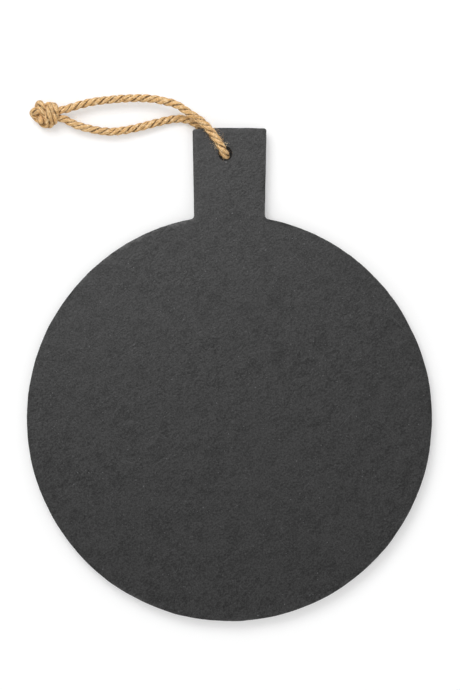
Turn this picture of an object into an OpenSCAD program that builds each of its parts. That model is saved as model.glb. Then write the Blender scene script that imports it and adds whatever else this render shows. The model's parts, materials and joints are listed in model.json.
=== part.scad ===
// Round slate serving board with a short straight handle and a knotted rope loop.
// The board lies face up on four feet. X runs to the right, Y towards the handle's end, Z up.
// The origin is under the middle of the slate's outline, on the level that the feet stand on.

/* [Slate] */
// Diameter of the round
round_d = 300; // [240:1:380]
// Thickness of the slate
slate_t = 5; // [3:0.5:7]
// Width of the small bevel along every edge of the slate
arris = 0.5; // [0.2:0.1:1]

/* [Handle] */
// How far the handle reaches beyond the round
handle_reach = 64.7; // [50:0.1:90]
// Width of the handle at its free end
handle_end_w = 54.8; // [46:0.1:70]
// Width of the handle where it leaves the round
handle_root_w = 52.4; // [44:0.1:70]
// Radius of the two outer corners
corner_r = 1.8; // [1.2:0.1:8]
// Radius of the two inside corners where the handle meets the round
shoulder_r = 3; // [1.5:0.1:8]

/* [Hole] */
// Distance from the handle's end to the middle of the hole
hole_from_end = 19.1; // [14:0.1:26]
// Sideways offset of the hole, to the left of the handle's middle
hole_left = 3.1; // [0:0.1:8]
// How much wider the hole is than the rope
hole_room = 4; // [3:0.5:8]
// Width of the bevel round both mouths of the hole
hole_bevel = 0.5; // [0.2:0.1:1]

/* [Rope] */
// Diameter of the rope
rope_d = 6; // [5:0.5:6.5]
// Gap between the rope and the slate's two faces
rope_gap = 0.3; // [0.3:0.1:1]
// Gap between the rope and the table under the handle
table_gap = 0.1; // [0.05:0.05:0.5]

/* [Feet] */
// Diameter of a foot where it is stuck on
foot_d = 12.7; // [12:0.1:20]
// Diameter of the flat that a foot stands on
foot_flat_d = 9.4; // [6:0.1:10]
// Width of the rounding between a foot's side and its flat
foot_round = 0.8; // [0.3:0.1:1]
// Diameter of the adhesive disc above each foot
adhesive_d = 12; // [8:0.1:12]
// Thickness of the adhesive disc
adhesive_t = 0.4; // [0.2:0.1:1]
// Distance from the round's edge to the middle of each foot
foot_inset = 35; // [20:1:60]

/* [Hidden] */
$fn = 96;
overrun = 1;

// Heights, from the table up
underside_z = table_gap + rope_d + rope_gap;
top_z = underside_z + slate_t;
over_z = top_z + rope_gap + rope_d / 2;
under_z = table_gap + rope_d / 2;
foot_h = underside_z - adhesive_t;

// Places in plan
round_r = round_d / 2;
round_y = -handle_reach / 2;
end_y = round_y + round_r + handle_reach;
root_y = round_y + sqrt(pow(round_r, 2) - pow(handle_root_w / 2, 2));
side_lean = atan((handle_end_w - handle_root_w) / 2 / (end_y - root_y));
root_sink = handle_root_w / 3;
hole_d = rope_d + hole_room;
hole_x = -hole_left;
hole_y = end_y - hole_from_end;
foot_reach = round_r - foot_inset;
arc_steps = 6;

// The rope's route, in millimetres from the middle of the hole, with heights above the table.
// It leaves the knot, runs to the handle, over its edge and down the hole, and back underneath.
front_leg = [
    [-126, 33.5, 8.5],
    [-115, 34.2, 7.6],
    [-100, 38.3, 7.5],
    [-85, 40.3, 7.5],
    [-69, 41.3, 8],
    [-52, 40.3, 9.5],
    [-44, 38.3, 11.2],
    [-37, 36.3, 13],
];
front_over = [[-30, 31.8], [-25, 28.4], [-18, 23.7], [-11, 16.5]];
back_under = [[-12, 13.5], [-19, 20.6], [-26, 25.3], [-34, 26.8]];
back_leg = [
    [-42, 25.8, 3.5],
    [-56, 22.3, 4.6],
    [-70, 18.8, 5.3],
    [-85, 16.8, 5.8],
    [-100, 18.8, 6.2],
    [-115, 23.8, 6.6],
    [-126, 27, 8],
];
front_angle = 123;
back_angle = 132;
lean_angle = -67;
bend_steps = 8;
tube_sides = 12;

// The bend in the hole is half a turn round the slate's edge. At the middle of the hole's depth the
// rope lies over to one side, a gap short of the wall.
bend_r = (over_z - under_z) / 2;
bend_z = (over_z + under_z) / 2;
bend_reach = hole_d / 2 + hole_bevel;
bend_lean = hole_room / 2 - rope_gap;
bend = [
    for (i = [0:bend_steps])
        let (
            turn = 180 * i / bend_steps,
            aim = front_angle + (back_angle - front_angle) * i / bend_steps,
            out = bend_reach * (1 - sin(turn)),
            over = bend_lean * sin(turn)
        )
        [
            out * cos(aim) + over * cos(lean_angle),
            out * sin(aim) + over * sin(lean_angle),
            bend_z + bend_r * cos(turn),
        ]
];
route = concat(
    front_leg,
    [for (p = front_over) [p.x, p.y, over_z]],
    bend,
    [for (p = back_under) [p.x, p.y, under_z]],
    back_leg
);

// The knot, as shares of the rope's diameter, from the knot's middle on the table.
// Two turns stand side by side. Each row holds a centre, the turn's radius, the rope's squeezed
// radius and the two tilts of its axis.
knot_at = [-134.5, 30.3];
knot_turn_shares = [
    [[1.2, 0.1, 1.3], 0.86, 0.42, [0, 90]],
    [[0.42, -0.15, 1.5], 1.04, 0.44, [6, 84]],
];
// Behind them the rope doubles back in lobes. Each row holds a centre and a radius.
knot_lobe_shares = [
    [[-0.5, -0.85, 1.05], 0.84],
    [[-0.6, -0.35, 1.5], 0.8],
    [[-1.05, 0, 1.1], 0.74],
];
// The core inside the turns, as a start, a length and a radius, and the cut end as two points and a radius
knot_core_share = [[-0.5, 0, 1.3], 1.95, 0.9];
knot_tail_share = [[-0.7, 1.3, 1.75], [0.1, -0.1, 1.55], 0.5];

function unit(v) = v / norm(v);
function arc(centre, r, from, to) = [
    for (i = [0:arc_steps])
        let (a = from + (to - from) * i / arc_steps)
        centre + r * [cos(a), sin(a)]
];

// Outline of the handle, drawn in by an inset, with the two outer corners rounded
function handle_outline(inset) =
    let (
        edge_y = end_y - inset,
        half_w = handle_end_w / 2 - inset / cos(side_lean) - inset * tan(side_lean),
        r = corner_r - inset,
        foot_y = root_y - root_sink,
        foot_w = half_w - (edge_y - foot_y) * tan(side_lean),
        corner_x = half_w - r * (1 + sin(side_lean)) / cos(side_lean),
        right = arc([corner_x, edge_y - r], r, -side_lean, 90)
    )
    concat(
        [[-foot_w, foot_y], [foot_w, foot_y]],
        right,
        [for (i = [arc_steps:-1:0]) [-right[i].x, right[i].y]]
    );

// Rings of a tube along a route, each square to the mean direction of the runs beside it
function tube_rings(points, r, across) = [
    for (i = [0:len(points) - 1])
        let (
            before = points[max(i - 1, 0)],
            after = points[min(i + 1, len(points) - 1)],
            along = unit(after - before),
            up = unit(cross(along, across)),
            side = cross(up, along)
        )
        for (j = [0:tube_sides - 1])
            let (a = 360 * j / tube_sides)
            points[i] + r * (cos(a) * up + sin(a) * side)
];

module tube(points, r, across) {
    last = (len(points) - 1) * tube_sides;
    walls = [
        for (i = [0:len(points) - 2], j = [0:tube_sides - 1])
            let (
                a = i * tube_sides + j,
                b = i * tube_sides + (j + 1) % tube_sides
            )
            each [[a, b, a + tube_sides], [b, b + tube_sides, a + tube_sides]]
    ];
    start = [for (j = [1:tube_sides - 2]) [0, j + 1, j]];
    end = [for (j = [1:tube_sides - 2]) [last, last + j, last + j + 1]];
    polyhedron(tube_rings(points, r, across), concat(walls, start, end));
}

// A ring of rope round the Z axis
module rope_turn(reach, thick) {
    rotate_extrude()
        translate([reach, 0])
            circle(r = thick);
}

module round_plate() {
    translate([0, round_y, underside_z])
        rotate_extrude()
            polygon([
                [0, 0],
                [round_r - arris, 0],
                [round_r, arris],
                [round_r, slate_t - arris],
                [round_r - arris, slate_t],
                [0, slate_t],
            ]);
}

module handle_plate() {
    hull() {
        translate([0, 0, underside_z])
            linear_extrude(slate_t)
                polygon(handle_outline(arris));
        translate([0, 0, underside_z + arris])
            linear_extrude(slate_t - 2 * arris)
                polygon(handle_outline(0));
    }
}

// The small fillet on the right, between the handle's side and the round
module shoulder() {
    outward = [cos(side_lean), -sin(side_lean)];
    down = [-sin(side_lean), -cos(side_lean)];
    middle = [0, round_y];
    from_corner = [handle_end_w / 2, end_y] + shoulder_r * outward - middle;
    reach = -from_corner * down
        - sqrt(pow(from_corner * down, 2) - pow(norm(from_corner), 2) + pow(round_r + shoulder_r, 2));
    centre = middle + from_corner + reach * down;
    to_middle = unit(middle - centre);
    start = 180 - side_lean;
    end = 360 + atan2(to_middle.y, to_middle.x);
    translate([0, 0, underside_z + arris])
        linear_extrude(slate_t - 2 * arris)
            polygon(concat(
                arc(centre, shoulder_r, start, end),
                [centre + 2 * shoulder_r * to_middle, centre - 2 * shoulder_r * outward]
            ));
}

module slate_board() {
    color("#3f4043")
        difference() {
            union() {
                round_plate();
                handle_plate();
                shoulder();
                mirror([1, 0, 0]) shoulder();
            }
            translate([hole_x, hole_y, underside_z - overrun])
                cylinder(d = hole_d, h = slate_t + 2 * overrun);
            translate([hole_x, hole_y, top_z - hole_bevel])
                cylinder(d1 = hole_d, d2 = hole_d + 2 * (hole_bevel + overrun), h = hole_bevel + overrun);
            translate([hole_x, hole_y, underside_z - overrun])
                cylinder(d1 = hole_d + 2 * (hole_bevel + overrun), d2 = hole_d, h = hole_bevel + overrun);
        }
}

module rope_loop() {
    color("#c9a063")
        translate([hole_x, hole_y, 0])
            tube(route, rope_d / 2, [cos(front_angle - 90), sin(front_angle - 90), 0]);
}

module rope_knot() {
    core = knot_core_share;
    tail = knot_tail_share;
    color("#c9a063")
        translate([hole_x + knot_at.x, hole_y + knot_at.y, 0])
            scale(rope_d)
                union() {
                    for (t = knot_turn_shares)
                        translate(t[0])
                            rotate([t[3][0], t[3][1], 0])
                                rope_turn(t[1], t[2]);
                    for (l = knot_lobe_shares)
                        translate(l[0])
                            sphere(r = l[1]);
                    translate(core[0])
                        rotate([0, 90, 0])
                            cylinder(r = core[2], h = core[1]);
                    cut_end(tail[0], tail[1], tail[2]);
                }
}

// A short straight length of rope, cut square
module cut_end(from, to, thick) {
    run = to - from;
    translate(from)
        rotate([0, acos(run.z / norm(run)), atan2(run.y, run.x)])
            cylinder(r = thick, h = norm(run));
}

// Puts a piece at one of the four feet's places
module at_foot(side, end) {
    translate([side * foot_reach * cos(45), round_y + end * foot_reach * sin(45), 0])
        children();
}

module foot() {
    flat_r = foot_flat_d / 2;
    color("#2b2b2d")
        rotate_extrude()
            polygon([
                [0, 0],
                [flat_r, 0],
                [flat_r + foot_round, foot_round],
                [foot_d / 2, foot_h],
                [0, foot_h],
            ]);
}

module adhesive() {
    color("#b9b6ad")
        translate([0, 0, foot_h])
            cylinder(d = adhesive_d, h = adhesive_t);
}

module foot_front_left() { at_foot(-1, -1) foot(); }
module foot_front_right() { at_foot(1, -1) foot(); }
module foot_rear_left() { at_foot(-1, 1) foot(); }
module foot_rear_right() { at_foot(1, 1) foot(); }
module adhesive_front_left() { at_foot(-1, -1) adhesive(); }
module adhesive_front_right() { at_foot(1, -1) adhesive(); }
module adhesive_rear_left() { at_foot(-1, 1) adhesive(); }
module adhesive_rear_right() { at_foot(1, 1) adhesive(); }

slate_board();
rope_loop();
rope_knot();
foot_front_left();
foot_front_right();
foot_rear_left();
foot_rear_right();
adhesive_front_left();
adhesive_front_right();
adhesive_rear_left();
adhesive_rear_right();
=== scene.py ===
"""A round slate serving board with a handle, a knotted jute rope loop and four rubber feet."""

import json
import math
import random

import bmesh
import bpy
from bpy.props import FloatProperty, FloatVectorProperty, IntProperty, PointerProperty
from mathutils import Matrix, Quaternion, Vector, noise

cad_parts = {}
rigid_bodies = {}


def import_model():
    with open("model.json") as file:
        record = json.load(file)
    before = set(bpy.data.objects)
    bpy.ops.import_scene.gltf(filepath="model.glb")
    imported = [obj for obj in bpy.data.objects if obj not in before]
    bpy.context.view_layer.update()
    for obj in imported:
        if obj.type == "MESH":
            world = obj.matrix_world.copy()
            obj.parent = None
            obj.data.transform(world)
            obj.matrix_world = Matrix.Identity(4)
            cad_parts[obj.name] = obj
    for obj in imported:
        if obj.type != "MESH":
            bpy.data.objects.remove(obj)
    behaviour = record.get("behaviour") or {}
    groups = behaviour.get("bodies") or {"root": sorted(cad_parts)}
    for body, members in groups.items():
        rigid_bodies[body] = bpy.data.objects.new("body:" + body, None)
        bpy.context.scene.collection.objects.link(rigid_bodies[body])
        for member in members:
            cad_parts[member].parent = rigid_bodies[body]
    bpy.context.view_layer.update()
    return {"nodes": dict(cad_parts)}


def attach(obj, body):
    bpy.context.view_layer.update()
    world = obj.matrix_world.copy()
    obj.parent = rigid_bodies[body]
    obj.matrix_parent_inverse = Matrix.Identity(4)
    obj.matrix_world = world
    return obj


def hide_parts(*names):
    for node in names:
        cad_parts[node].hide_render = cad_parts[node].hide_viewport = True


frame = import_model()

bl_info = {
    "name": "Slate Serving Board",
    "version": (1, 0, 0),
    "blender": (4, 5, 0),
    "location": "3D View > Sidebar > Slate Board",
    "description": "Makes the slate, the rope loop, the feet and the stage of a round slate serving board",
    "category": "Object",
}

MM = 0.001

# The slate, in millimetres in the frame: its round, handle and hole are as in the part's source
ROUND_MIDDLE = (0.0, -32.35)
ROUND_R = 150.0
HANDLE_END_Y = 182.35
HANDLE_ROOT_Y = 117.65
HANDLE_END_HALF = 27.4
HANDLE_ROOT_HALF = 26.2
CORNER_R = 1.8
SHOULDER_R = 3.0
UNDERSIDE_Z = 6.4
TOP_Z = 11.4
HOLE = (-3.1, 163.25)
HOLE_R = 5.0
HOLE_SIDES = 64
FILLET_STEPS = 6
ARRIS = 0.5
OUTLINE_UNEVEN = 0.6
DRILL_CHIP = (-2.7, 156.9)
END_DROOP = (1.1, 0.5)
EDGE_LEVELS = (7.5, 8.2, 8.9, 9.6, 10.3)
RIM_STEPS = 3
TOLERANCE = 0.01
SLACK = 0.1

# Faces that meet at more than this stay sharp to the eye
SHARP = math.radians(32)

# The outline is uneven from this far below the handle's root, coming in over a fade, with this grain
UNEVEN_BELOW = 8
UNEVEN_FADE = 20
UNEVEN_GRAIN = 0.035

# The handle's end droops to its left and right corners, from this far off the middle and over this run
END_BAND = 2
DROOP_FROM = (2, 8)
DROOP_RUN = (25, 19)

# The feet, on a circle round the middle of the round
FOOT_REACH = 115.0
FOOT_D = 12.7
FOOT_FLAT_D = 9.4
FOOT_ROUND = 0.8
FOOT_H = 6.0
FOOT_SIDES = 64
FOOT_TOP_ROUND = 0.25
FEET = {
    "foot_front_left": (-1, -1),
    "foot_front_right": (1, -1),
    "foot_rear_left": (-1, 1),
    "foot_rear_right": (1, 1),
}

# The rope's route as in the part's source, (x, y) from the hole's middle and height above the table, in
# millimetres. The first row of the front leg and the last of the back leg lie in the knot, where the
# rope takes its own turns.
FRONT_LEG = [
    (-126, 33.5, 8.5), (-115, 34.2, 7.6), (-100, 38.3, 7.5), (-85, 40.3, 7.5), (-69, 41.3, 8),
    (-52, 40.3, 9.5), (-44, 38.3, 11.2), (-37, 36.3, 13),
]
OVER_Z = 14.7
FRONT_OVER = [(-30, 31.8), (-25, 28.4), (-18, 23.7), (-11, 16.5)]

# The bend in the hole: its radius, the height of its middle, how far from the hole's axis its ends lie and
# in which directions, in degrees, and how far and which way it lies off the axis halfway down
BEND_R = 5.8
BEND_Z = 8.9
BEND_REACH = 5.5
BEND_AIMS = (123, 132)
BEND_STEPS = 8
BEND_LEAN = 1.7
LEAN_AIM = math.radians(-67)

# The rope's way back under the handle
UNDER_Z = 3.1
BACK_UNDER = [(-12, 13.5), (-19, 20.6), (-26, 25.3), (-34, 26.8)]
BACK_LEG = [
    (-42, 25.8, 3.5), (-56, 22.3, 4.6), (-70, 18.8, 5.3), (-85, 16.8, 5.8), (-100, 18.8, 6.2),
    (-115, 23.8, 6.6), (-126, 27, 8),
]

# The two ends of the rope in the knot, from the leg to the cut end, in millimetres from the knot's middle
KNOT_MIDDLE = (-136.7, 192.8, 7.9)
KNOT_FRONT = [
    (15.8, 3.8, -0.4), (12.3, 3.1, -0.1), (8.7, 2.3, 0.6), (6.2, 2.0, 1.3), (4.3, 2.0, 2.4),
    (2.2, 2.0, 3.0), (0.0, 1.6, 3.2), (-2.7, 1.8, 3.3), (-5.2, 2.2, 3.6), (-7.2, 1.9, 3.0),
    (-8.7, 1.2, 1.2), (-8.6, -0.1, -0.9), (-7.1, -1.5, -2.3), (-5.2, -3.3, -2.8), (-3.2, -5.1, -3.2),
    (-1.2, -6.9, -3.6), (1.3, -7.6, -3.5), (3.7, -7.3, -2.3), (5.6, -6.3, -0.6), (7.0, -5.2, 1.4),
    (7.7, -3.1, 3.0), (8.1, -0.6, 3.8), (8.3, 1.9, 4.5), (7.9, 4.4, 4.0), (6.8, 5.8, 2.1),
    (5.4, 6.0, -0.3), (3.6, 6.3, -2.2), (1.1, 5.8, -2.9), (-1.2, 4.6, -2.2), (-2.9, 2.8, -1.4),
    (-4.2, 1.3, -0.8),
]
KNOT_BACK = [
    (15.8, -4.0, -1.6), (11.7, -2.9, -1.3), (9.1, -2.4, -1.0), (6.6, -1.7, -0.6), (4.2, -1.6, 0.6),
    (2.0, -1.1, 2.0), (0.2, 0.2, 4.6), (-0.9, 2.6, 6.2), (-2.1, 5.2, 5.6), (-3.4, 7.4, 2.8),
    (-4.8, 7.2, -0.6), (-5.1, 5.2, -3.2), (-4.4, 2.7, -4.8), (-2.7, 0.4, -4.9), (-1.1, -1.7, -4.8),
    (0.6, -3.3, -3.7), (1.5, -4.1, -1.3), (2.0, -5.2, 1.0), (2.7, -5.7, 3.6), (3.5, -4.0, 5.6),
    (3.9, -1.5, 6.6), (4.5, 1.0, 7.0), (4.6, 3.6, 6.8), (4.2, 5.7, 5.6), (3.1, 6.3, 3.6),
    (2.0, 5.3, 1.5), (1.6, 3.1, 0.0), (0.6, 1.0, -1.0), (-1.0, -0.9, -0.7), (-1.8, -2.7, 0.9),
    (-2.3, -4.9, 2.0), (-2.6, -7.1, 1.4),
]

# The swing of the loop about the hole, in degrees, from one end to the other
SWING = (-175, 45)
SWING_STEP = 5

# The rope's line, in metres: the knot's squeeze lets go over a fade outside its core, and the cut ends
# swell over one stretch and are rounded over a shorter one, from a share of their width
EASE_ROUNDS = 14
KNOT_CORE = 0.010
KNOT_FADE = 0.009
END_SWELL = 0.009
END_ROUND = 0.0011
END_SHARE = 0.45
END_CROWN = 0.25
TABLE_GAP = 0.00002

# How uneven a strand is: how far it wanders round the rope, how it thickens, and the ripple of its yarns.
# Each row holds an amount and how fast it changes along the strand.
WANDER = (0.22, 90.0)
THICKER = ((0.07, 170.0), (0.04, 700.0))
YARN_BULGE = 0.045
YARN_TURN = 260
YARN_DRIFT = 500
INNER_FLAT = 0.10

# Stray fibres, in metres: two in five stand near the hole, each starts at a share of the rope's thickness
# from its middle, and none has its own middle line nearer the table than the lift
FIBRE_SEED = 41
FIBRE_RINGS = 8
FIBRE_START = 0.40
FIBRE_LIFT = 0.0004
NEAR_HOLE = 0.045
ABOVE_TABLE = 0.010

# How far in from the board's outline the floor's white lift fades out and its painted shade fades in, in
# millimetres
STAGE_FADE = 12.0

# The far floor's own lift comes in between these distances from the round's middle, in metres
FAR_FLOOR = (0.5, 2.2)

# The lamps, each with its place and width, and the point that they face, in metres
KEY_LAMP = ((-0.5, 1.0, 1.5), 0.9)
TOP_LAMP = ((0.15, -0.1, 1.9), 1.2)
TOP_SHARE = 0.35
SHEEN_CARD = ((-0.4, 0.85, 1.0), 0.9)
LAMPS_FACE = (0, 0.03, 0)

# The camera: straight down above the middle of the picture, its lens and film in millimetres, and the
# nearest and farthest that it sees in metres
EYE = (0.00039, 0.02192, 1.2137)
LENS = 85.0
FILM = 36.0
SIGHT = (0.05, 20.0)


# Settings


def number_prop(name, description, default, **more):
    return FloatProperty(name=name, description=description, default=default, **more)


def length_prop(name, description, default, **more):
    return number_prop(name, description, default, unit="LENGTH", **more)


def colour_prop(name, description, *default):
    return FloatVectorProperty(name=name, description=description, default=default, subtype="COLOR")


class RopeSettings(bpy.types.PropertyGroup):
    thickness: length_prop("Rope thickness", "Across the three strands", 0.006, min=0.003)
    lay: length_prop("Lay", "Length in which a strand goes once round the rope", 0.0189)
    squeeze: number_prop(
        "Squeeze in the knot", "Share of its thickness that the rope keeps in the knot", 0.94,
        min=0.5, max=0.99, subtype="FACTOR",
    )
    swell: number_prop("Swell at the ends", "How much thicker the cut ends are than the rope", 0.12)
    fullness: number_prop(
        "Fullness", "How much fatter a strand is than one that just touches the others", 1.15,
        min=1.0, max=1.5,
    )
    knot_fullness: number_prop(
        "Fullness in the knot", "The same where the knot presses the strands together", 1.27,
        min=1.0, max=1.5,
    )
    ring_step: length_prop("Ring spacing", "Distance between the rings of a strand", 0.0005)
    sides: IntProperty(name="Sides", description="Points round a strand", default=20, min=8)
    fibres: IntProperty(name="Stray fibres", description="How many stand off the rope", default=420, min=0)
    pale: colour_prop("Pale fibre", "Colour of the fibres that catch the light", 1.0, 0.80, 0.50)
    middle: colour_prop("Fibre", "Main colour of the jute", 0.80, 0.465, 0.172)
    # the painted shade in the grooves is made from this brown, darkened
    brown: colour_prop("Brown fibre", "Colour of the darker fibres and the grooves", 0.33, 0.155, 0.036)


class SlateSettings(bpy.types.PropertyGroup):
    cell: length_prop("Cell", "Spacing of the points on the faces", 0.0020, min=0.001)
    relief: length_prop("Cleft relief", "Depth of the hollows on the split faces", 0.00016)
    ledge: length_prop("Ledges", "Depth of the layers that show on the cut edge", 0.00018)
    chip: length_prop("Chips", "Depth of the chips along the rims", 0.0007)
    dark: colour_prop("Slate", "Main colour of the slate", 0.0168, 0.0168, 0.0169)
    light: colour_prop("Worn slate", "Colour of scratches and specks", 0.13, 0.132, 0.135)


class FootSettings(bpy.types.PropertyGroup):
    hollow: length_prop("Hollow", "Depth of the shallow hollow under each foot", 0.0006)
    land: length_prop("Land", "Width of the ring round the hollow that the foot stands on", 0.0014)
    rubber: colour_prop("Rubber", "Colour of the feet", 0.02, 0.02, 0.021)
    tape: colour_prop("Adhesive", "Colour of the adhesive discs", 0.48, 0.46, 0.42)


class StageSettings(bpy.types.PropertyGroup):
    floor: colour_prop("Floor", "Colour of the table top", 0.76, 0.76, 0.76)
    lift: number_prop(
        "White lift", "White that only the camera sees on the floor", 0.258, min=0.0, max=1.0
    )
    far_lift: number_prop(
        "Far lift", "More of it where the lamps don't reach", 0.26, min=0.0, max=1.0
    )
    key: number_prop("Key light", "Strength of the soft light", 13.0, unit="POWER")
    sheen: number_prop(
        "Sheen light", "Strength of the card that only shows as a sheen", 100.0, unit="POWER"
    )
    sky: number_prop("Fill", "Strength of the light from all round", 0.66)


# Small helpers


def clear_selection():
    for obj in bpy.context.view_layer.objects:
        obj.select_set(False)


def only(obj):
    """Selects one object and nothing else, and makes it active."""
    clear_selection()
    obj.select_set(True)
    bpy.context.view_layer.objects.active = obj
    return obj


def choose(obj, kind, test):
    """In edit mode, selects the faces or edges for which the test holds, and nothing else."""
    shape = bmesh.from_edit_mesh(obj.data)
    chosen = [item for item in getattr(shape, kind) if test(item)]
    bpy.ops.mesh.select_mode(type="FACE" if kind == "faces" else "EDGE")
    bpy.ops.mesh.select_all(action="DESELECT")
    for item in chosen:
        item.select_set(True)
    bmesh.update_edit_mesh(obj.data)


def edge_uses(obj):
    """How many faces use each edge: two each on a closed shape."""
    uses = [0] * len(obj.data.edges)
    for loop in obj.data.loops:
        uses[loop.edge_index] += 1
    return uses


def mesh_object(name, verts, faces):
    """A new mesh object from points in metres and faces."""
    mesh = bpy.data.meshes.new(name)
    mesh.from_pydata([tuple(v) for v in verts], [], faces)
    mesh.validate()
    obj = bpy.data.objects.new(name, mesh)
    bpy.context.scene.collection.objects.link(obj)
    return obj


def set_material(obj, material):
    obj.data.materials.clear()
    obj.data.materials.append(material)


def smooth_line(points, step):
    """A smooth line through the points, as points a step apart."""
    pts = [Vector(p) for p in points]
    gaps = [max((b - a).length, 1e-9) for a, b in zip(pts, pts[1:])]
    slopes = []
    for i in range(len(pts)):
        if i == 0:
            slopes.append((pts[1] - pts[0]) / gaps[0])
        elif i == len(pts) - 1:
            slopes.append((pts[-1] - pts[-2]) / gaps[-1])
        else:
            a, b = gaps[i - 1], gaps[i]
            slopes.append(((pts[i] - pts[i - 1]) / a * b + (pts[i + 1] - pts[i]) / b * a) / (a + b))
    fine = []
    for i, gap in enumerate(gaps):
        count = max(int(math.ceil(gap / (step * 0.25))), 2)
        for k in range(count):
            t = k / count
            h1, h2 = 2 * t**3 - 3 * t * t + 1, t**3 - 2 * t * t + t
            h3, h4 = -2 * t**3 + 3 * t * t, t**3 - t * t
            fine.append(h1 * pts[i] + h2 * gap * slopes[i] + h3 * pts[i + 1] + h4 * gap * slopes[i + 1])
    fine.append(pts[-1])
    return even_line(fine, step)


def runs(line):
    """How far along a line each of its points is."""
    out = [0.0]
    for a, b in zip(line, line[1:]):
        out.append(out[-1] + (b - a).length)
    return out


def even_line(fine, step):
    """The same line with its points evenly spaced."""
    run = runs(fine)
    count = max(int(round(run[-1] / step)), 2)
    out, j = [], 0
    for i in range(count + 1):
        s = run[-1] * i / count
        while j < len(run) - 2 and run[j + 1] < s:
            j += 1
        span = run[j + 1] - run[j]
        out.append(fine[j].lerp(fine[j + 1], (s - run[j]) / span if span else 0.0))
    return out


def eased(line, rounds):
    """The line with its small kinks rubbed out; its ends stay."""
    for _ in range(rounds):
        inner = [(a + b * 2 + c) / 4 for a, b, c in zip(line, line[1:], line[2:])]
        line = [line[0], *inner, line[-1]]
    return line


def line_length(line):
    return sum((b - a).length for a, b in zip(line, line[1:]))


def carried_frames(line):
    """Tangent and an untwisted side direction at each point of a line."""
    tangents = []
    for i in range(len(line)):
        tangents.append((line[min(i + 1, len(line) - 1)] - line[max(i - 1, 0)]).normalized())
    side = tangents[0].orthogonal().normalized()
    sides = [side]
    for a, b in zip(tangents, tangents[1:]):
        side = a.rotation_difference(b) @ side
        side = (side - side.dot(b) * b).normalized()
        sides.append(side)
    return tangents, sides


def wobble(seed, x, scale):
    """Smooth noise from -1 to 1 along a line."""
    return noise.noise(Vector((x * scale, seed * 7.31, seed * 3.17)))


# Material helpers


class Nodes:
    """Short ways to add, fill and join shader nodes in one tree."""

    def __init__(self, tree):
        self.tree = tree

    def add(self, kind, **values):
        node = self.tree.nodes.new(kind)
        for key, value in values.items():
            setattr(node, key, value)
        return node

    def join(self, out, into):
        self.tree.links.new(out, into)

    def give(self, socket, value):
        """Joins a socket to another one, or sets it to a number, a vector or a colour."""
        if isinstance(value, bpy.types.NodeSocket):
            self.join(value, socket)
        elif isinstance(value, (int, float)):
            socket.default_value = value
        else:
            socket.default_value = (*value, 1.0)[:len(socket.default_value)]

    def fill(self, node, **values):
        """Gives a node its inputs by name, an underscore for each blank, and returns its outputs."""
        for name, value in values.items():
            self.give(node.inputs[name.replace("_", " ")], value)
        return node.outputs

    def place(self):
        return self.add("ShaderNodeTexCoord").outputs["Object"]

    def split(self, vector):
        return self.fill(self.add("ShaderNodeSeparateXYZ"), Vector=vector)

    def distance(self, vector, point):
        node = self.add("ShaderNodeVectorMath", operation="DISTANCE")
        self.join(vector, node.inputs[0])
        node.inputs[1].default_value = point
        return node.outputs["Value"]

    def seen(self):
        """1 for what the camera sees, straight or in gloss or glass, and 0 for the light on things."""
        rays = self.add("ShaderNodeLightPath").outputs
        seen = self.math("MAXIMUM", rays["Is Camera Ray"], rays["Is Glossy Ray"])
        return self.math("MAXIMUM", seen, rays["Is Transmission Ray"])

    def math(self, operation, a, b=None, clamp=False):
        node = self.add("ShaderNodeMath", operation=operation, use_clamp=clamp)
        for socket, value in zip(node.inputs, (a, b)):
            if value is not None:
                self.give(socket, value)
        return node.outputs[0]

    def times(self, a, b):
        return self.math("MULTIPLY", a, b)

    def plus(self, a, b):
        return self.math("ADD", a, b)

    def noise(self, vector, scale, detail=2.0, roughness=0.5, distortion=0.0):
        node = self.add("ShaderNodeTexNoise")
        self.fill(node, Vector=vector, Scale=scale, Detail=detail, Roughness=roughness)
        return self.fill(node, Distortion=distortion)["Fac"]

    def ramp(self, value, low, high, to_low=0.0, to_high=1.0):
        node = self.add("ShaderNodeMapRange", clamp=True, interpolation_type="SMOOTHSTEP")
        self.fill(node, Value=value, From_Min=low, From_Max=high, To_Min=to_low, To_Max=to_high)
        return node.outputs["Result"]

    def mix(self, factor, a, b):
        node = self.add("ShaderNodeMix", data_type="RGBA")
        for socket, value in ((node.inputs["Factor"], factor), (node.inputs[6], a), (node.inputs[7], b)):
            self.give(socket, value)
        return node.outputs[2]

    def tint(self, tone, value, low, high, amount, colour):
        """Lays a colour over a tone by an amount, as the value goes from low to high."""
        return self.mix(self.ramp(value, low, high, 0.0, amount), tone, colour)

    def mapped(self, vector, scale=(1, 1, 1), turn=(0, 0, 0), place=(0, 0, 0)):
        node = self.add("ShaderNodeMapping")
        return self.fill(node, Vector=vector, Scale=scale, Rotation=turn, Location=place)["Vector"]

    def bump(self, height, strength, distance):
        node = self.add("ShaderNodeBump")
        return self.fill(node, Height=height, Strength=strength, Distance=distance)["Normal"]


def shaded(colour, times):
    """A colour made darker or lighter."""
    return tuple(c * times for c in colour)


def new_material(name, roughness=0.5, specular=0.5):
    """A material with a Principled shader, its node helper and the shader."""
    material = bpy.data.materials.new(name)
    material.use_nodes = True
    tree = Nodes(material.node_tree)
    shader = material.node_tree.nodes["Principled BSDF"]
    tree.fill(shader, Roughness=roughness, Specular_IOR_Level=specular)
    return material, tree, shader


def group_sockets(group, ins, outs):
    for name, kind, value in ins:
        socket = group.interface.new_socket(name=name, in_out="INPUT", socket_type=kind)
        if value is not None:
            socket.default_value = value
    for name, kind in outs:
        group.interface.new_socket(name=name, in_out="OUTPUT", socket_type=kind)


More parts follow.
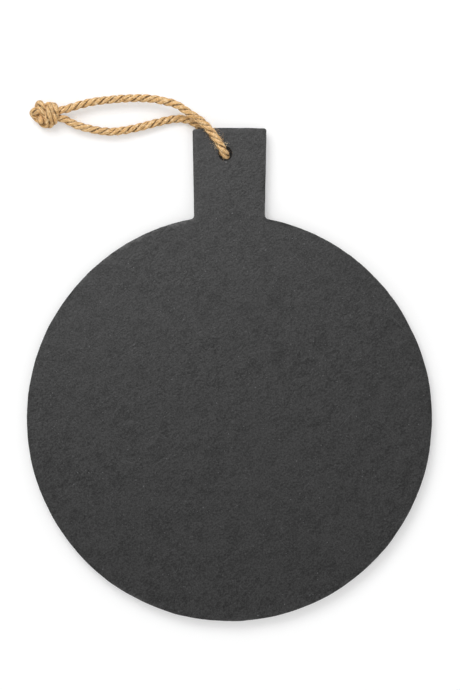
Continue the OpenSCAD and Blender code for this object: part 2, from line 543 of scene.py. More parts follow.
def grain_group():
    """Fine mottling shared by the slate, the rubber and the adhesive: a mask and a height."""
    group = bpy.data.node_groups.get("Fine grain")
    if group:
        return group
    group = bpy.data.node_groups.new("Fine grain", "ShaderNodeTree")
    group_sockets(
        group,
        [
            ("Vector", "NodeSocketVector", None),
            ("Scale", "NodeSocketFloat", 400.0),
            ("Contrast", "NodeSocketFloat", 1.0),
        ],
        [("Mask", "NodeSocketFloat"), ("Height", "NodeSocketFloat")],
    )
    n = Nodes(group)
    given = n.add("NodeGroupInput")
    out = n.add("NodeGroupOutput")
    coarse = n.add("ShaderNodeTexNoise")
    fine = n.add("ShaderNodeTexNoise")
    for node, times, detail in ((coarse, 1.0, 3.0), (fine, 4.7, 2.0)):
        scale = n.times(given.outputs["Scale"], times)
        n.fill(node, Vector=given.outputs["Vector"], Scale=scale, Detail=detail)
    parts = [n.times(node.outputs["Fac"], share) for node, share in ((coarse, 0.6), (fine, 0.4))]
    both = n.plus(*parts)
    spread = n.times(n.math("SUBTRACT", both, 0.5), given.outputs["Contrast"])
    n.fill(out, Mask=n.math("ADD", spread, 0.5, clamp=True), Height=both)
    return group


def place_grain(n, vector, scale, contrast):
    node = n.add("ShaderNodeGroup", node_tree=grain_group())
    outputs = n.fill(node, Vector=vector, Scale=scale, Contrast=contrast)
    return outputs["Mask"], outputs["Height"]


# Materials


def jute_material(settings):
    """Twisted jute: fibre streaks along each strand and painted brown shade in the grooves between, matt and
    a little fuzzy.
    """
    material, n, shader = new_material("Jute", 0.85, 0.15)
    pale, middle, brown = settings.pale, settings.middle, settings.brown
    along, around, _ = n.split(n.add("ShaderNodeUVMap", uv_map="strand").outputs["UV"])
    # the yarns turn against the strand, so the streaks slant a little
    slanted = n.plus(around, n.times(along, -0.045))
    streak_at = n.add("ShaderNodeCombineXYZ")
    n.join(n.times(along, 0.28), streak_at.inputs[0])
    n.join(n.times(slanted, 15.0), streak_at.inputs[1])
    streak = n.noise(streak_at.outputs[0], 1.0, 3.0, 0.75, 0.4)
    hair = n.noise(n.mapped(streak_at.outputs[0], (1.2, 2.2, 1.0), place=(3.7, 1.3, 0.0)), 1.0, 2.0, 0.7)
    patch = n.noise(n.place(), 420.0, 3.0, 0.7)
    # grooves between the strands lie at the sides of each strand, away from its outer line at 0.5, and get
    # painted shade there
    away = n.math("ABSOLUTE", n.math("SUBTRACT", around, 0.5))
    groove_shade = n.times(n.ramp(away, 0.13, 0.24), n.ramp(patch, 0.42, 0.6, 1.0, 0.3))
    tone = n.mix(n.ramp(streak, 0.3, 0.6), brown, middle)
    for value, low, high, amount, colour in (
        (hair, 0.5, 0.66, 1.0, pale),
        (hair, 0.44, 0.3, 0.85, brown),
        (patch, 0.52, 0.7, 0.7, pale),
        (patch, 0.42, 0.3, 0.6, brown),
    ):
        tone = n.tint(tone, value, low, high, amount, colour)
    # painted shade: the grooves between the strands are darkened towards a deep brown
    tone = n.mix(groove_shade, tone, shaded(brown, 0.28))
    height = n.plus(n.times(streak, 0.7), n.times(hair, 0.3))
    n.fill(shader, Base_Color=tone, Normal=n.bump(height, 0.9, 0.0006))
    n.fill(shader, Sheen_Weight=0.06, Sheen_Roughness=0.5)
    return material


def fibre_material(settings):
    """Single stray fibres, some paler than others."""
    material, n, shader = new_material("Jute fibre", 0.7, 0.3)
    paler = n.ramp(n.noise(n.place(), 220.0, 2.0), 0.4, 0.6)
    n.fill(shader, Base_Color=n.mix(paler, settings.middle, settings.pale))
    return material


def slate_material(settings):
    """Split slate: dark grey, a fine slanting grain, specks, faint scratches and layers on the cut edge."""
    material, n, shader = new_material("Slate", 0.6, 0.1)
    dark, light = settings.dark, settings.light
    place = n.place()
    turned = n.mapped(place, turn=(0, 0, math.radians(-38)))
    mottle = n.noise(n.mapped(turned, (460.0, 610.0, 500.0)), 1.0, 3.0, 0.8, 0.2)
    ticks = n.noise(n.mapped(turned, (290.0, 640.0, 600.0), place=(3.1, 7.7, 0.4)), 1.0, 2.0, 0.6, 0.5)
    patch = n.noise(n.mapped(turned, (95.0, 120.0, 60.0), place=(1.1, 2.7, 0.0)), 1.0, 4.0, 0.6, 0.4)
    cloud = n.noise(place, 9.0, 3.0, 0.55, 0.5)
    speck = n.noise(place, 700.0, 1.0)
    mask, height = place_grain(n, place, 800.0, 4.0)
    # the chip that the drill left below the hole is ragged
    off_chip = n.distance(place, [v * MM for v in (*DRILL_CHIP, TOP_Z)])
    chip = n.plus(off_chip, n.times(ticks, 0.003))
    tone = n.mix(n.ramp(mottle, 0.36, 0.64), shaded(dark, 0.12), shaded(dark, 2.0))
    for value, low, high, amount, colour in (
        (ticks, 0.5, 0.68, 0.65, shaded(dark, 2.7)),
        (ticks, 0.46, 0.32, 0.7, shaded(dark, 0.15)),
        (patch, 0.35, 0.65, 0.5, shaded(dark, 2.0)),
        (patch, 0.5, 0.34, 0.45, shaded(dark, 0.45)),
        (cloud, 0.35, 0.65, 0.3, shaded(dark, 1.6)),
        (mask, 0.5, 0.0, 0.75, shaded(dark, 0.15)),
        (mask, 0.5, 1.0, 0.6, shaded(dark, 2.6)),
        (speck, 0.72, 0.79, 0.8, light),
        (speck, 0.27, 0.21, 0.8, shaded(dark, 0.2)),
        (chip, 0.0023, 0.0018, 0.9, light),
    ):
        tone = n.tint(tone, value, low, high, amount, colour)
    # faint scratches, long and thin, in two directions
    for angle, shift, amount in ((-52, 4.0, 0.22), (47, 9.0, 0.16)):
        across = n.mapped(place, turn=(0, 0, math.radians(angle)))
        line = n.noise(n.mapped(across, (14.0, 900.0, 14.0), place=(shift, 0, 0)), 1.0, 1.0, 0.4)
        tone = n.tint(tone, line, 0.765, 0.8, amount, light)
    # the cut edge shows the layers that the slate splits along
    facing = n.split(n.add("ShaderNodeNewGeometry").outputs["Normal"])
    edge = n.ramp(n.math("ABSOLUTE", facing["Z"]), 0.75, 0.35)
    layers = n.noise(n.mapped(place, (45.0, 45.0, 1900.0)), 1.0, 3.0, 0.6, 0.3)
    layer_tone = n.mix(n.ramp(layers, 0.34, 0.66), shaded(dark, 0.4), shaded(dark, 2.3))
    tone = n.mix(n.times(edge, 0.85), tone, layer_tone)
    rough = n.ramp(mottle, 0.2, 0.8, 0.62, 0.46)
    relief = n.plus(n.times(mottle, 0.55), n.times(ticks, 0.45))
    relief = n.plus(relief, n.times(height, 0.2))
    relief = n.times(relief, n.ramp(edge, 0.0, 1.0, 1.0, 0.3))
    relief = n.plus(relief, n.times(n.times(layers, edge), 0.8))
    n.fill(shader, Base_Color=tone, Roughness=rough, Normal=n.bump(relief, 0.65, 0.0005))
    return material


def rubber_material(settings):
    """Soft black rubber with a fine moulded texture."""
    material, n, shader = new_material("Foot rubber", 0.55, 0.45)
    mask, height = place_grain(n, n.place(), 1500.0, 1.5)
    tone = n.mix(mask, settings.rubber, shaded(settings.rubber, 1.9))
    rough = n.ramp(mask, 0.2, 0.8, 0.48, 0.66)
    n.fill(shader, Base_Color=tone, Roughness=rough, Normal=n.bump(height, 0.3, 0.0002))
    return material


def tape_material(settings):
    """Dull, slightly yellowed adhesive."""
    material, n, shader = new_material("Adhesive", 0.7, 0.3)
    mask, height = place_grain(n, n.place(), 1100.0, 1.8)
    tone = n.mix(mask, shaded(settings.tape, 0.8), settings.tape)
    n.fill(shader, Base_Color=tone, Normal=n.bump(height, 0.25, 0.0002))
    return material


def floor_material(settings):
    """A pale table top that the camera sees as white, except where the board keeps the light off it; under
    the board its colour is also darkened as painted shade.
    """
    material, n, shader = new_material("Table top", 0.9, 0.1)
    place = n.place()
    axes = n.split(place)
    off_middle = n.distance(place, (ROUND_MIDDLE[0] * MM, ROUND_MIDDLE[1] * MM, 0.0))
    # under the board the floor gets painted shade, its colour darkened, and has no lift, so that the hole
    # looks dark too
    fade = STAGE_FADE * MM
    off_round = n.ramp(off_middle, ROUND_R * MM - 2 * fade, ROUND_R * MM)
    half = HANDLE_ROOT_HALF * MM
    beside = n.ramp(n.math("ABSOLUTE", axes["X"]), half - fade, half)
    beyond = n.ramp(axes["Y"], HANDLE_END_Y * MM - fade, HANDLE_END_Y * MM)
    before = n.math("LESS_THAN", axes["Y"], ROUND_MIDDLE[1] * MM)
    off_handle = n.math("MAXIMUM", n.math("MAXIMUM", beside, beyond), before)
    clear = n.times(off_round, off_handle)
    # painted shade: the floor's colour is darkened under the board
    n.fill(shader, Base_Color=n.mix(clear, shaded(settings.floor, 0.2), settings.floor))
    # the lamps are near the board, so the far floor gets a little more lift to stay as white
    far = n.ramp(off_middle, *FAR_FLOOR, settings.lift, settings.lift + settings.far_lift)
    glow = n.add("ShaderNodeEmission")
    n.fill(glow, Strength=n.times(n.times(n.seen(), clear), far))
    both = n.add("ShaderNodeAddShader")
    n.join(shader.outputs[0], both.inputs[0])
    n.join(glow.outputs[0], both.inputs[1])
    n.join(both.outputs[0], material.node_tree.nodes["Material Output"].inputs["Surface"])
    return material


# Operators


def rope_route():
    """The rope's whole centreline, from one cut end through the knot, over the handle, under it and back."""
    hx, hy = HOLE
    kx, ky, kz = KNOT_MIDDLE
    route = [(kx + x, ky + y, kz + z) for x, y, z in reversed(KNOT_FRONT)]
    route += [(hx + x, hy + y, z) for x, y, z in FRONT_LEG[1:]]
    route += [(hx + x, hy + y, OVER_Z) for x, y in FRONT_OVER]
    for i in range(BEND_STEPS + 1):
        turn = math.pi * i / BEND_STEPS
        aim = math.radians(BEND_AIMS[0] + (BEND_AIMS[1] - BEND_AIMS[0]) * i / BEND_STEPS)
        out = BEND_REACH * (1 - math.sin(turn))
        over = BEND_LEAN * math.sin(turn)
        x = hx + out * math.cos(aim) + over * math.cos(LEAN_AIM)
        y = hy + out * math.sin(aim) + over * math.sin(LEAN_AIM)
        route.append((x, y, BEND_Z + BEND_R * math.cos(turn)))
    route += [(hx + x, hy + y, UNDER_Z) for x, y in BACK_UNDER]
    route += [(hx + x, hy + y, z) for x, y, z in BACK_LEG[:-1]]
    route += [(kx + x, ky + y, kz + z) for x, y, z in KNOT_BACK]
    return [Vector(p) * MM for p in route]


def knot_share(point, squeeze):
    """How thick the rope is at a point: 1 when free, less in the knot."""
    off = (point - Vector(KNOT_MIDDLE) * MM).length
    t = min(max((off - KNOT_CORE) / KNOT_FADE, 0.0), 1.0)
    return squeeze + (1 - squeeze) * t * t * (3 - 2 * t)


def strand_lines(line, settings):
    """For each strand: its line, its outward direction and its radius at each ring."""
    whole = line_length(line)
    tangents, sides = carried_frames(line)
    # three round strands that just touch would have this radius; soft ones press flat and are fuller
    touching = settings.thickness / (2 * (1 + 2 / math.sqrt(3)))
    strands = []
    for k in range(3):
        pts, outs, radii = [], [], []
        for i, (p, run) in enumerate(zip(line, runs(line))):
            share = knot_share(p, settings.squeeze)
            packed = (1 - share) / (1 - settings.squeeze)
            share *= 1 + settings.swell * max(0.0, 1 - min(run, whole - run) / END_SWELL)
            reach = touching * (settings.fullness + (settings.knot_fullness - settings.fullness) * packed)
            out_to = settings.thickness / 2 - reach
            angle = -2 * math.pi * run / settings.lay + 2 * math.pi * k / 3
            angle += WANDER[0] * wobble(k + 1, run, WANDER[1])
            out = Quaternion(tangents[i], angle) @ sides[i]
            swell = 1 + sum(
                amount * wobble(k + 10 * row + 1, run, rate) for row, (amount, rate) in enumerate(THICKER, 1)
            )
            pts.append(p + out * out_to * share)
            outs.append(out)
            radii.append(reach * share * swell)
        strands.append((pts, outs, radii))
    return strands


def wall_rings(first, rings, sides, faces):
    """Adds the walls between rings of points that follow each other from the first point on."""
    for i in range(rings - 1):
        for j in range(sides):
            a = first + i * sides + j
            b = first + i * sides + (j + 1) % sides
            faces.append((a, b, b + sides, a + sides))


def add_strand(k, strand, settings, verts, faces, uvs):
    """Adds one strand to the rope: its rings, the walls between them and its two cut ends."""
    pts, outs, radii = strand
    first, last, sides = len(verts), len(pts) - 1, settings.sides
    for i, (p, run) in enumerate(zip(pts, runs(pts))):
        t = (pts[min(i + 1, last)] - pts[max(i - 1, 0)]).normalized()
        out = (outs[i] - outs[i].dot(t) * t).normalized()
        across = t.cross(out)
        from_end = min(i, last - i) * settings.ring_step
        close = min(1.0, END_SHARE + (1 - END_SHARE) * math.sqrt(min(from_end / END_ROUND, 1.0)))
        for j in range(sides):
            a = 2 * math.pi * j / sides
            ripple = 6 * math.cos(a + YARN_TURN * run) + YARN_DRIFT * run
            bulge = 1 + YARN_BULGE * wobble(k + 31, ripple, 1.0)
            bulge *= 1 - INNER_FLAT * max(0.0, -math.cos(a)) ** 2
            point = p + (out * math.cos(a) + across * math.sin(a)) * radii[i] * bulge * close
            point.z = max(point.z, TABLE_GAP)
            verts.append(point)
            uvs.append((run / MM, (0.5 + j / sides) % 1.0))
    wall_rings(first, last + 1, sides, faces)
    for ring, way in ((0, 1), (last, -1)):
        t = (pts[ring] - pts[ring + way]).normalized()
        middle = len(verts)
        verts.append(pts[ring] + t * radii[ring] * END_CROWN)
        uvs.append((ring * settings.ring_step / MM, 0.5))
        for j in range(sides):
            a = first + ring * sides + j
            b = first + ring * sides + (j + 1) % sides
            faces.append((b, a, middle) if ring == 0 else (a, b, middle))


def lay_pattern(rope, uvs):
    """Gives the rope its map: millimetres along a strand, and the share of the way round it."""
    layer = rope.data.uv_layers.new(name="strand")
    for polygon in rope.data.polygons:
        corners = [uvs[rope.data.loops[i].vertex_index] for i in polygon.loop_indices]
        wraps = max(c[1] for c in corners) - min(c[1] for c in corners) > 0.5
        for i, c in zip(polygon.loop_indices, corners):
            layer.data[i].uv = (c[0], c[1] + 1.0 if wraps and c[1] < 0.5 else c[1])


class SLATEBOARD_OT_rope(bpy.types.Operator):
    """Twists the rope from three strands along its route, through the hole and the knot"""

    bl_idname = "slate_board.rope"
    bl_label = "Make the rope"

    def execute(self, context):
        settings = context.scene.slate_board_rope
        line = eased(smooth_line(rope_route(), settings.ring_step), EASE_ROUNDS)
        verts, faces, uvs = [], [], []
        for k, strand in enumerate(strand_lines(line, settings)):
            add_strand(k, strand, settings, verts, faces, uvs)
        rope = mesh_object("rope", verts, faces)
        lay_pattern(rope, uvs)
        only(rope)
        bpy.ops.object.shade_smooth()
        set_material(rope, jute_material(settings))
        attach(rope, "loop")
        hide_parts("rope_loop", "rope_knot")
        make_fibres(line, settings)
        return {"FINISHED"}


def meets_slate(spots, thick):
    """Whether a fibre comes into the slate anywhere in the loop's swing."""
    hx, hy = HOLE
    low, high = UNDERSIDE_Z * MM - thick, TOP_Z * MM + thick
    level = [(spot.x / MM - hx, spot.y / MM - hy) for spot in spots if low < spot.z < high]
    for degrees in range(SWING[0], SWING[1] + 1, SWING_STEP):
        c, s = math.cos(math.radians(degrees)), math.sin(math.radians(degrees))
        if any(in_plan(hx + x * c - y * s, hy + x * s + y * c, -thick / MM) for x, y in level):
            return True
    return False


def bent_fibre(pick, line, frames, i, settings):
    """One fibre that curls off the rope at a point of its line: its spots, its aims there and its radius."""
    t = frames[0][i]
    out = Quaternion(t, pick.uniform(0, 2 * math.pi)) @ frames[1][i]
    p = line[i] + out * settings.thickness * FIBRE_START * knot_share(line[i], settings.squeeze)
    p.z = max(p.z, FIBRE_LIFT)
    step = pick.uniform(0.0004, 0.0011)
    aim = out * pick.uniform(0.25, 0.9) + t * pick.choice((-1, 1)) * pick.uniform(0.4, 1.2)
    aim = aim.normalized()
    turn_about = Vector([pick.uniform(-1, 1) for k in range(3)]).normalized()
    turn = pick.uniform(-0.55, 0.55)
    thick = pick.uniform(0.00003, 0.00006)
    spots, aims = [], []
    for _ in range(FIBRE_RINGS):
        spots.append(p.copy())
        aims.append(aim)
        p = p + aim * step
        p.z = max(p.z, FIBRE_LIFT)
        aim = (Quaternion(turn_about, turn) @ aim).normalized()
    return spots, aims, thick


def add_thread(spots, aims, thick, verts, faces):
    """Adds a closed three-sided thread that thins towards its tip."""
    first = len(verts)
    for r, (spot, aim) in enumerate(zip(spots, aims)):
        a = aim.orthogonal().normalized()
        b = aim.cross(a)
        w = thick * (1 - 0.6 * r / FIBRE_RINGS)
        for j in range(3):
            c = 2 * math.pi * j / 3
            verts.append(spot + (a * math.cos(c) + b * math.sin(c)) * w)
    wall_rings(first, FIBRE_RINGS, 3, faces)
    faces.append((first + 2, first + 1, first))
    e = first + (FIBRE_RINGS - 1) * 3
    faces.append((e, e + 1, e + 2))


def make_fibres(line, settings):
    """Stray fibres that curl off the rope, none of which comes into the slate as the loop swings."""
    pick = random.Random(FIBRE_SEED)
    frames = carried_frames(line)
    verts, faces = [], []
    hole = Vector((HOLE[0] * MM, HOLE[1] * MM, OVER_Z * MM))
    near_hole = [i for i, p in enumerate(line) if (p - hole).length < NEAR_HOLE and p.z > ABOVE_TABLE]
    kept = 0
    while kept < settings.fibres:
        i = pick.choice(near_hole) if kept % 5 < 2 else pick.randrange(8, len(line) - 8)
        spots, aims, thick = bent_fibre(pick, line, frames, i, settings)
        if not meets_slate(spots, thick):
            kept += 1
            add_thread(spots, aims, thick, verts, faces)
    fibres = mesh_object("rope_fibres", verts, faces)
    set_material(fibres, fibre_material(settings))
    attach(fibres, "loop")


def in_plan(x, y, margin):
    """Whether a point in plan lies on the slate, a margin in from its outline and from the hole's rim."""
    in_round = math.hypot(x - ROUND_MIDDLE[0], y - ROUND_MIDDLE[1]) < ROUND_R - margin
    in_handle = ROUND_MIDDLE[1] < y < HANDLE_END_Y - margin and abs(x) < handle_half(y) - margin
    off_hole = math.hypot(x - HOLE[0], y - HOLE[1]) > HOLE_R + margin
    return (in_round or in_handle) and off_hole


def handle_half(y):
    """Half the handle's width at a height up the picture: it widens a little towards its end."""
    along = (y - HANDLE_ROOT_Y) / (HANDLE_END_Y - HANDLE_ROOT_Y)
    return HANDLE_ROOT_HALF + (HANDLE_END_HALF - HANDLE_ROOT_HALF) * along


def draw_arc(middle, angle, steps):
    """Turns the selected point about a middle, counterclockwise from above, and leaves an arc behind it."""
    centre = (middle[0] * MM, middle[1] * MM, 0)
    bpy.ops.mesh.spin(steps=steps, angle=-angle, center=centre, axis=(0, 0, 1))


def draw_straight(way, cell):
    """Extrudes the selected point along a way in plan, in steps of about a cell."""
    steps = max(int(math.hypot(*way) / cell), 1)
    for _ in range(steps):
        bpy.ops.mesh.extrude_vertices_move(
            TRANSFORM_OT_translate={"value": (way[0] / steps * MM, way[1] / steps * MM, 0)}
        )


def draw_outline(cell):
    """The slate's outline as a loop of edges: the round, two shoulders, the handle's sides and corners."""
    fillet_x = HANDLE_ROOT_HALF + SHOULDER_R
    fillet_y = math.sqrt((ROUND_R + SHOULDER_R) ** 2 - fillet_x**2)
    touch = math.atan2(fillet_y, fillet_x)
    root_y = ROUND_MIDDLE[1] + fillet_y
    corner = (HANDLE_END_HALF - CORNER_R, HANDLE_END_Y - CORNER_R)
    rise = corner[1] - root_y
    spread = HANDLE_END_HALF - HANDLE_ROOT_HALF
    bpy.ops.mesh.primitive_plane_add(size=MM)
    slate = bpy.context.object
    bpy.ops.object.mode_set(mode="EDIT")
    bpy.ops.mesh.merge(type="CENTER")
    start = (-ROUND_R * math.cos(touch), ROUND_MIDDLE[1] + ROUND_R * math.sin(touch), UNDERSIDE_Z)
    bpy.ops.transform.translate(value=[v * MM for v in start])
    draw_arc(ROUND_MIDDLE, math.pi + 2 * touch, int((math.pi + 2 * touch) * ROUND_R / cell))
    draw_arc((fillet_x, root_y), -touch, FILLET_STEPS)
    draw_straight((spread, rise), cell)
    draw_arc(corner, math.pi / 2, FILLET_STEPS)
    draw_straight((-2 * corner[0], 0), cell)
    draw_arc((-corner[0], corner[1]), math.pi / 2, FILLET_STEPS)
    draw_straight((spread, -rise), cell)
    draw_arc((-fillet_x, root_y), -touch, FILLET_STEPS)
    bpy.ops.mesh.select_all(action="SELECT")
    bpy.ops.mesh.remove_doubles(threshold=2 * TOLERANCE * MM)
    return slate


def dress_outline(slate):
    """Makes the outline a little uneven, as cut slate is: only inwards, and the handle's end bows."""
    uneven_y = HANDLE_ROOT_Y - UNEVEN_BELOW
    shape = bmesh.from_edit_mesh(slate.data)
    for v in shape.verts:
        x, y = v.co.x / MM, v.co.y / MM
        if y < uneven_y:
            fade = min((uneven_y - y) / UNEVEN_FADE, 1.0)
            spot = Vector((x * UNEVEN_GRAIN, y * UNEVEN_GRAIN, 4.2))
            rough = 0.5 + 0.5 * noise.fractal(spot, 1.0, 2.0, 3)
            inward = Vector((ROUND_MIDDLE[0] - x, ROUND_MIDDLE[1] - y)).normalized()
            v.co.xy += inward * OUTLINE_UNEVEN * fade * min(max(rough, 0.0), 1.0) * MM
        elif y > HANDLE_END_Y - CORNER_R - END_BAND:
            for off, start, run, droop in zip((-x, x), DROOP_FROM, DROOP_RUN, END_DROOP):
                v.co.y -= droop * min(max((off - start) / run, 0.0), 1.0) ** 2 * MM
    bmesh.update_edit_mesh(slate.data)


def bore_hole(slate):
    """Drills the rope's hole through the handle."""
    bpy.ops.object.mode_set(mode="OBJECT")
    bpy.ops.mesh.primitive_cylinder_add(
        vertices=HOLE_SIDES, radius=HOLE_R * MM, depth=TOP_Z * 2 * MM,
        location=(HOLE[0] * MM, HOLE[1] * MM, TOP_Z * MM),
    )
    drill = bpy.context.object
    cut = only(slate).modifiers.new("hole", "BOOLEAN")
    cut.operation = "DIFFERENCE"
    cut.solver = "EXACT"
    cut.object = drill
    bpy.ops.object.modifier_apply(modifier=cut.name)
    bpy.data.objects.remove(drill)


def is_cap(face):
    return abs(face.normal.z) > 0.99


def is_rim(edge):
    """An edge between one of the two flat faces and an upright one."""
    return len(edge.link_faces) == 2 and is_cap(edge.link_faces[0]) != is_cap(edge.link_faces[1])


def grid_face(slate, level, cell):
    """Lays a face of small squares at a height, and fills between it and the outline's and hole's rims."""
    wide, long = 2 * ROUND_R, HANDLE_END_Y - ROUND_MIDDLE[1] + ROUND_R
    middle = (0, (HANDLE_END_Y - long / 2) * MM, level * MM)
    margin = ARRIS + END_DROOP[0] + cell * 0.6

    def sticks_out(face):
        return face.select and not all(in_plan(v.co.x / MM, v.co.y / MM, margin) for v in face.verts)

    def is_open(edge):
        return edge.is_boundary and all(abs(v.co.z - level * MM) < TOLERANCE * MM for v in edge.verts)

    bpy.ops.mesh.select_all(action="DESELECT")
    bpy.ops.mesh.primitive_grid_add(
        x_subdivisions=int(wide / cell), y_subdivisions=int(long / cell), size=MM, location=middle
    )
    bpy.ops.transform.resize(value=(wide, long, 1), center_override=middle)
    choose(slate, "faces", sticks_out)
    bpy.ops.mesh.delete(type="FACE")
    choose(slate, "edges", is_open)
    bpy.ops.mesh.fill(use_beauty=True)


def press(obj, name, grain, stretch, angle, depth, group, octaves=2, band=(0.25, 0.75), hard=False):
    """Presses clouds into a group of points, inwards along their normals, deepest below the band."""
    clouds = bpy.data.textures.new(name, "CLOUDS")
    clouds.noise_scale = grain
    clouds.noise_depth = octaves
    clouds.noise_type = "HARD_NOISE" if hard else "SOFT_NOISE"
    clouds.use_color_ramp = True
    for end, place, shade in zip(clouds.color_ramp.elements, band, ((0, 0, 0, 1), (1, 1, 1, 1))):
        end.position = place
        end.color = shade
    bpy.ops.object.empty_add(rotation=(0, 0, math.radians(angle)))
    guide = bpy.context.object
    guide.scale = stretch
    bpy.context.view_layer.update()
    push = only(obj).modifiers.new(name, "DISPLACE")
    push.texture = clouds
    push.texture_coords = "OBJECT"
    push.texture_coords_object = guide
    push.mid_level = 1.0
    push.strength = depth
    push.vertex_group = group
    bpy.ops.object.modifier_apply(modifier=push.name)
    bpy.data.objects.remove(guide)
    bpy.data.textures.remove(clouds)


def name_points(obj, name, test):
    """Puts the points for which the test holds in a named group."""
    group = obj.vertex_groups.new(name=name)
    group.add([v.index for v in obj.data.vertices if test(v.co / MM)], 1.0, "REPLACE")


class SLATEBOARD_OT_slate(bpy.types.Operator):
    """Cuts the slate plate with its handle and hole, then splits its faces and wears its edges"""

    bl_idname = "slate_board.slate"
    bl_label = "Make the slate"

    def execute(self, context):
        settings = context.scene.slate_board_slate
        cell = settings.cell / MM
        clear_selection()
        slate = draw_outline(cell)
        dress_outline(slate)
        bpy.ops.mesh.edge_face_add()
        thick = (TOP_Z - UNDERSIDE_Z) * MM
        bpy.ops.mesh.extrude_region_move(TRANSFORM_OT_translate={"value": (0, 0, thick)})
        bpy.ops.mesh.select_all(action="SELECT")
        bpy.ops.mesh.normals_make_consistent(inside=False)
        bore_hole(slate)
        only(slate)
        bpy.ops.object.mode_set(mode="EDIT")
        for level in EDGE_LEVELS:
            bpy.ops.mesh.select_all(action="SELECT")
            bpy.ops.mesh.bisect(plane_co=(0, 0, level * MM), plane_no=(0, 0, 1))
        choose(slate, "edges", is_rim)
        bpy.ops.mesh.bevel(offset=ARRIS * MM, segments=RIM_STEPS, affect="EDGES")
        choose(slate, "faces", is_cap)
        bpy.ops.mesh.delete(type="FACE")
        grid_face(slate, TOP_Z, cell)
        grid_face(slate, UNDERSIDE_Z, cell)
        bpy.ops.mesh.select_all(action="SELECT")
        bpy.ops.mesh.remove_doubles(threshold=TOLERANCE * MM)
        bpy.ops.mesh.normals_make_consistent(inside=False)
        bpy.ops.object.mode_set(mode="OBJECT")
        if any(count != 2 for count in edge_uses(slate)):
            raise RuntimeError("the slate isn't closed")
        self.split_and_wear(slate, settings)
        bpy.ops.object.transform_apply(location=True, rotation=True, scale=True)
        bpy.ops.object.shade_smooth_by_angle(angle=SHARP)
        slate.name = slate.data.name = "slate"
        set_material(slate, slate_material(settings))
        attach(slate, "board")
        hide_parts("slate_board")
        return {"FINISHED"}

    def split_and_wear(self, slate, settings):
        """Presses in the split faces' relief, the layers on the cut edge and the chips along the rims."""
        middle_z = (TOP_Z + UNDERSIDE_Z) / 2
        half = (TOP_Z - UNDERSIDE_Z) / 2

        def near_hole(p):
            return math.hypot(p.x - HOLE[0], p.y - HOLE[1]) < HOLE_R + ARRIS + SLACK

        def on_face(p):
            return abs(abs(p.z - middle_z) - half) < TOLERANCE

        def on_side(p):
            return not on_face(p) and not near_hole(p)

        def on_rim(p):
            in_bevel = half - ARRIS - SLACK / 2 < abs(p.z - middle_z) < half + TOLERANCE
            return in_bevel and not near_hole(p) and not in_plan(p.x, p.y, ARRIS + SLACK)

        for name, test in (("face", on_face), ("side", on_side), ("rim", on_rim), ("hole", near_hole)):
            name_points(slate, name, test)
        relief, ledge = settings.relief, settings.ledge
        press(slate, "broad swell", 0.05, (1.2, 0.95, 1), 38, relief, "face")
        press(
            slate, "cleft sheets", 0.014, (1.4, 0.85, 1), 38, relief * 0.8, "face", 3, (0.0, 0.6), hard=True
        )
        press(slate, "layers", 0.006, (1.6, 1.6, 0.16), 0, ledge, "side", 3, (0.3, 0.7))
        press(slate, "chips", 0.0035, (1, 1, 1), 0, settings.chip, "rim", 1, (0.12, 0.34))
        press(slate, "drill marks", 0.003, (1, 1, 0.4), 0, ledge * 0.4, "hole")
        slate.vertex_groups.clear()


class SLATEBOARD_OT_feet(bpy.types.Operator):
    """Moulds the four rubber feet and gives their adhesive discs a finish"""

    bl_idname = "slate_board.feet"
    bl_label = "Make the feet"

    def execute(self, context):
        settings = context.scene.slate_board_feet
        rubber, tape = rubber_material(settings), tape_material(settings)
        for name, (side, end) in FEET.items():
            x = side * FOOT_REACH * math.cos(math.pi / 4)
            y = ROUND_MIDDLE[1] + end * FOOT_REACH * math.sin(math.pi / 4)
            foot = self.mould(x * MM, y * MM, settings)
            foot.name = foot.data.name = name.replace("foot", "rubber_foot")
            set_material(foot, rubber)
            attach(foot, "board")
            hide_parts(name)
            set_material(frame["nodes"][name.replace("foot", "adhesive")], tape)
        return {"FINISHED"}

    def mould(self, x, y, settings):
        """A tapered round foot with rounded rims and a shallow hollow in the flat that it stands on."""
        clear_selection()
        bpy.ops.mesh.primitive_cylinder_add(
            vertices=FOOT_SIDES, radius=FOOT_D / 2 * MM, depth=FOOT_H * MM, location=(x, y, FOOT_H / 2 * MM)
        )
        foot = bpy.context.object
        rim = FOOT_D / 2 * MM * 0.98

        def at_top(edge):
            return is_rim(edge) and all(math.hypot(v.co.x - x, v.co.y - y) > rim for v in edge.verts)

        bpy.ops.object.transform_apply(location=True, rotation=True, scale=True)
        bpy.ops.object.mode_set(mode="EDIT")
        choose(foot, "faces", lambda f: f.normal.z < -0.9)
        taper = (FOOT_FLAT_D + 2 * FOOT_ROUND) / FOOT_D
        bpy.ops.transform.resize(value=(taper, taper, 1), center_override=(x, y, 0))
        bpy.ops.mesh.inset(thickness=FOOT_ROUND * MM + settings.land)
        bpy.ops.mesh.inset(thickness=settings.hollow, depth=-settings.hollow)
        choose(foot, "edges", lambda e: is_rim(e) and e.verts[0].co.z < SLACK * MM)
        bpy.ops.mesh.bevel(offset=FOOT_ROUND * MM, segments=5, affect="EDGES")
        choose(foot, "edges", at_top)
        bpy.ops.mesh.bevel(offset=FOOT_TOP_ROUND * MM, segments=RIM_STEPS, affect="EDGES")
        bpy.ops.object.mode_set(mode="OBJECT")
        bpy.ops.object.shade_smooth_by_angle(angle=SHARP)
        if any(count != 2 for count in edge_uses(foot)):
            raise RuntimeError("a foot isn't closed")
        return foot


class SLATEBOARD_OT_view(bpy.types.Operator):
    """Sets the camera straight above the board, as the picture was taken"""

    bl_idname = "slate_board.view"
    bl_label = "Set the camera"

    def execute(self, context):
        data = bpy.data.cameras.new("view")
        data.lens = LENS
        data.sensor_width = FILM
        data.clip_start, data.clip_end = SIGHT
        camera = bpy.data.objects.new("view", data)
        context.scene.collection.objects.link(camera)
        camera.location = EYE
        context.scene.camera = camera
        return {"FINISHED"}


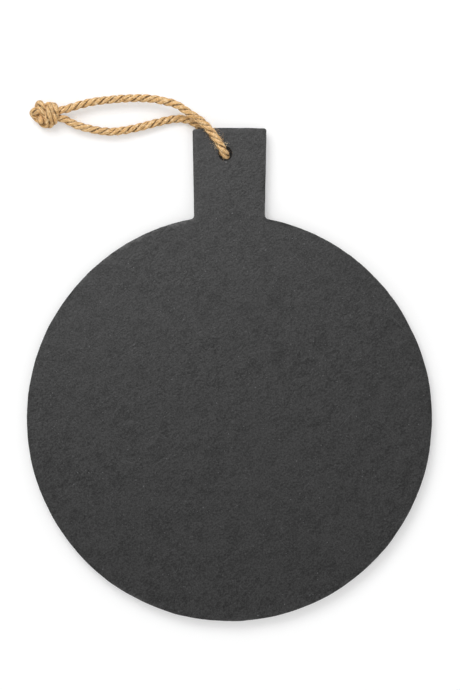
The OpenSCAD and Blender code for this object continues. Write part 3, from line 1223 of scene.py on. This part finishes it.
def light_room(scene, settings):
    """White all round for the camera, and a plain fill light for the board."""
    world = bpy.data.worlds.new("room")
    scene.world = world
    world.use_nodes = True
    n = Nodes(world.node_tree)
    background = world.node_tree.nodes["Background"]
    clear = n.times(n.seen(), 1.0 - settings.sky)
    n.fill(background, Color=(1, 1, 1), Strength=n.plus(clear, settings.sky))


def hang_lamp(scene, name, at, size, power, diffuse=True):
    """A square soft lamp that faces the board. Without diffuse it shows only as a sheen."""
    data = bpy.data.lights.new(name, "AREA")
    data.shape = "SQUARE"
    data.size = size
    data.energy = power
    lamp = bpy.data.objects.new(name, data)
    lamp.visible_diffuse = diffuse
    scene.collection.objects.link(lamp)
    lamp.location = at
    lamp.rotation_euler = (Vector(LAMPS_FACE) - Vector(at)).to_track_quat("-Z", "Y").to_euler()


class SLATEBOARD_OT_stage(bpy.types.Operator):
    """Lays the pale table top and hangs the soft lights"""

    bl_idname = "slate_board.stage"
    bl_label = "Set the stage"

    def execute(self, context):
        settings = context.scene.slate_board_stage
        clear_selection()
        bpy.ops.mesh.primitive_plane_add(size=30.0, location=(0, 0, 0))
        floor = context.object
        floor.name = "floor"
        set_material(floor, floor_material(settings))
        light_room(context.scene, settings)
        hang_lamp(context.scene, "key", *KEY_LAMP, settings.key)
        hang_lamp(context.scene, "top", *TOP_LAMP, settings.key * TOP_SHARE)
        hang_lamp(context.scene, "sheen", *SHEEN_CARD, settings.sheen, diffuse=False)
        context.scene.view_settings.view_transform = "Standard"
        return {"FINISHED"}


class SLATEBOARD_PT_panel(bpy.types.Panel):
    bl_idname = "SLATEBOARD_PT_panel"
    bl_label = "Slate Board"
    bl_space_type = "VIEW_3D"
    bl_region_type = "UI"
    bl_category = "Slate Board"

    def draw(self, context):
        for operator in OPERATORS:
            self.layout.operator(operator.bl_idname)
        for name, group in SETTINGS:
            box = self.layout.box()
            for size in group.__annotations__:
                box.prop(getattr(context.scene, name), size)


OPERATORS = (
    SLATEBOARD_OT_view,
    SLATEBOARD_OT_rope,
    SLATEBOARD_OT_slate,
    SLATEBOARD_OT_feet,
    SLATEBOARD_OT_stage,
)
SETTINGS = (
    ("slate_board_rope", RopeSettings),
    ("slate_board_slate", SlateSettings),
    ("slate_board_feet", FootSettings),
    ("slate_board_stage", StageSettings),
)


def register():
    for name, group in SETTINGS:
        bpy.utils.register_class(group)
        setattr(bpy.types.Scene, name, PointerProperty(type=group))
    for cls in (*OPERATORS, SLATEBOARD_PT_panel):
        bpy.utils.register_class(cls)


def unregister():
    for cls in (SLATEBOARD_PT_panel, *reversed(OPERATORS)):
        bpy.utils.unregister_class(cls)
    for name, group in reversed(SETTINGS):
        delattr(bpy.types.Scene, name)
        bpy.utils.unregister_class(group)


def main():
    register()
    bpy.ops.slate_board.view()
    bpy.ops.slate_board.rope()
    bpy.ops.slate_board.slate()
    bpy.ops.slate_board.feet()
    bpy.ops.slate_board.stage()
    bpy.context.view_layer.update()


if __name__ == "__main__":
    main()
